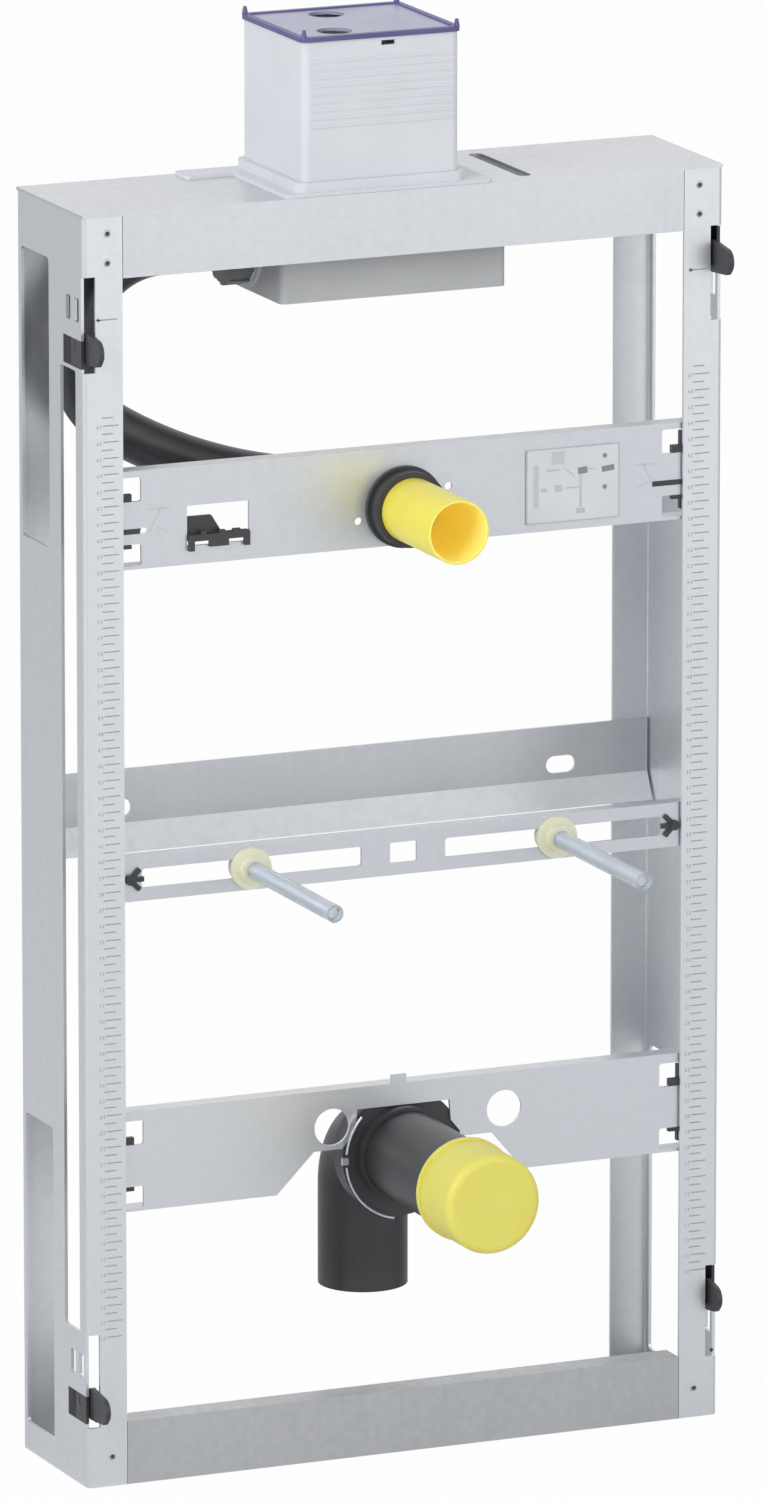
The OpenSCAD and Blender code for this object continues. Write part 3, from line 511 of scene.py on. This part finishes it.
def make_clamp_band():
    """Bright steel edge of the drain clamp, in two arcs that a lug joins at the left."""
    low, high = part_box("drain_clamp")
    x, z = (low[0] + high[0]) / 2 / MM, (low[2] + high[2]) / 2 / MM
    radius = (high[2] - low[2]) / 2 / MM
    y = low[1] / MM + CLAMP_EDGE
    form = bmesh.new()
    for start, end in CLAMP_ARCS:
        steps = round((end - start) / ARC_TURN)
        ring = bmesh.ops.create_circle(form, cap_ends=True, segments=8, radius=CLAMP_EDGE / 2)
        turn = Matrix.Rotation(math.radians(-start), 4, "Y")
        bmesh.ops.transform(form, verts=ring["verts"],
                            matrix=turn @ Matrix.Translation((radius + 0.2, 0, 0)))
        faces = list({face for point in ring["verts"] for face in point.link_faces})
        edges = list({edge for face in faces for edge in face.edges})
        bmesh.ops.spin(form, geom=ring["verts"] + edges + faces, cent=(0, 0, 0), axis=(0, -1, 0),
                       angle=math.radians(end - start), steps=steps)
    bmesh.ops.recalc_face_normals(form, faces=form.faces)
    bmesh.ops.translate(form, vec=(x, y, z), verts=form.verts)
    add_bar(form, (x - radius - 1.2, y, z), (4.0, 2.2, 4.4))
    new_piece("clamp_edge", form, "steel", "drain_carrier")


digits = make_digits()
make_ruler("left_ruler", -1, digits)
make_ruler("right_ruler", 1, digits)
make_rivets()
make_label_drawing()
make_turn_marks()
make_threaded_stud(-1, "left")
make_threaded_stud(1, "right")
make_clamp_band()


# Studio

CAMERA_AZIMUTH, CAMERA_ELEVATION, CAMERA_DISTANCE, CAMERA_LENS = -23.612, 13.04, 8.895, 348.7
CAMERA_TARGET = (-15.4, FRONT, 447.3)
SOFT_LIGHT, SOFT_STRENGTH = (0.93, 0.96, 1.0, 1), 0.66
FLOOR_SIZE, FLOOR_TONE, FLOOR_GLOW = 12.0, (0.8, 0.8, 0.8, 1), 0.965
LAMP_AIM = (0, 0, 0.45)
# Name, place, size and power of each lamp
LAMPS = (("key", (-2.8, -1.5, 2.2), 1.6, 56.0),
         ("top", (0.6, 0.4, 3.2), 1.6, 2.0),
         ("front", (2.1, -5.2, 1.2), 4.5, 66.0))


def make_camera():
    """A long lens from the left and a little above, aimed at the middle of the frame."""
    azimuth, elevation = math.radians(CAMERA_AZIMUTH), math.radians(CAMERA_ELEVATION)
    target = Vector(CAMERA_TARGET) * MM
    away = Vector((math.sin(azimuth) * math.cos(elevation),
                   -math.cos(azimuth) * math.cos(elevation), math.sin(elevation)))
    lens = bpy.data.cameras.new("camera")
    lens.sensor_fit = "VERTICAL"
    lens.sensor_height = 36.0
    lens.lens = CAMERA_LENS
    lens.clip_end = 50.0
    camera = bpy.data.objects.new("camera", lens)
    bpy.context.scene.collection.objects.link(camera)
    camera.location = target + away * CAMERA_DISTANCE
    camera.rotation_euler = (-away).to_track_quat("-Z", "Y").to_euler()
    bpy.context.scene.camera = camera


def make_world():
    """Even soft light; seen directly or in a reflection it is a white studio."""
    world = bpy.data.worlds.new("studio")
    bpy.context.scene.world = world
    world.use_nodes = True
    tree = world.node_tree
    tree.nodes.clear()
    soft = put(tree, "ShaderNodeBackground", {"Color": SOFT_LIGHT, "Strength": SOFT_STRENGTH})
    white = put(tree, "ShaderNodeBackground", {"Color": (1, 1, 1, 1), "Strength": 1.0})
    rays = put(tree, "ShaderNodeLightPath")
    seen = put(tree, "ShaderNodeMath", operation="MAXIMUM")
    wire(tree, rays, seen, "Is Camera Ray", 0)
    wire(tree, rays, seen, "Is Transmission Ray", 1)
    mirrored = put(tree, "ShaderNodeMath", operation="MAXIMUM")
    wire(tree, seen, mirrored, 0, 0)
    wire(tree, rays, mirrored, "Is Glossy Ray", 1)
    mix = put(tree, "ShaderNodeMixShader")
    wire(tree, mirrored, mix, 0, 0)
    wire(tree, soft, mix, 0, 1)
    wire(tree, white, mix, 0, 2)
    wire(tree, mix, put(tree, "ShaderNodeOutputWorld"))


def make_floor():
    """White floor that keeps a faint shadow."""
    mesh = bpy.data.meshes.new("floor")
    form = bmesh.new()
    bmesh.ops.create_grid(form, x_segments=1, y_segments=1, size=FLOOR_SIZE)
    form.to_mesh(mesh)
    form.free()
    floor = bpy.data.objects.new("floor", mesh)
    bpy.context.scene.collection.objects.link(floor)
    material = bpy.data.materials.new("white floor")
    material.use_nodes = True
    tree = material.node_tree
    tree.nodes.clear()
    matt = put(tree, "ShaderNodeBsdfDiffuse", {"Color": FLOOR_TONE})
    glow = put(tree, "ShaderNodeEmission", {"Color": (1, 1, 1, 1), "Strength": 1.0})
    rays = put(tree, "ShaderNodeLightPath")
    share = put(tree, "ShaderNodeMath", {1: FLOOR_GLOW}, operation="MULTIPLY")
    wire(tree, rays, share, "Is Camera Ray", 0)
    mix = put(tree, "ShaderNodeMixShader")
    wire(tree, share, mix, 0, 0)
    wire(tree, matt, mix, 0, 1)
    wire(tree, glow, mix, 0, 2)
    wire(tree, mix, put(tree, "ShaderNodeOutputMaterial"))
    mesh.materials.append(material)


def make_lamp(name, place, size, power):
    """A square area lamp that points at the middle of the frame."""
    lamp = bpy.data.lights.new(name, "AREA")
    lamp.shape = "SQUARE"
    lamp.size = size
    lamp.energy = power
    obj = bpy.data.objects.new(name, lamp)
    bpy.context.scene.collection.objects.link(obj)
    obj.location = Vector(place)
    obj.rotation_euler = (Vector(LAMP_AIM) - Vector(place)).to_track_quat("-Z", "Y").to_euler()


make_camera()
make_world()
make_floor()
for lamp in LAMPS:
    make_lamp(*lamp)
bpy.context.scene.view_settings.view_transform = "Standard"
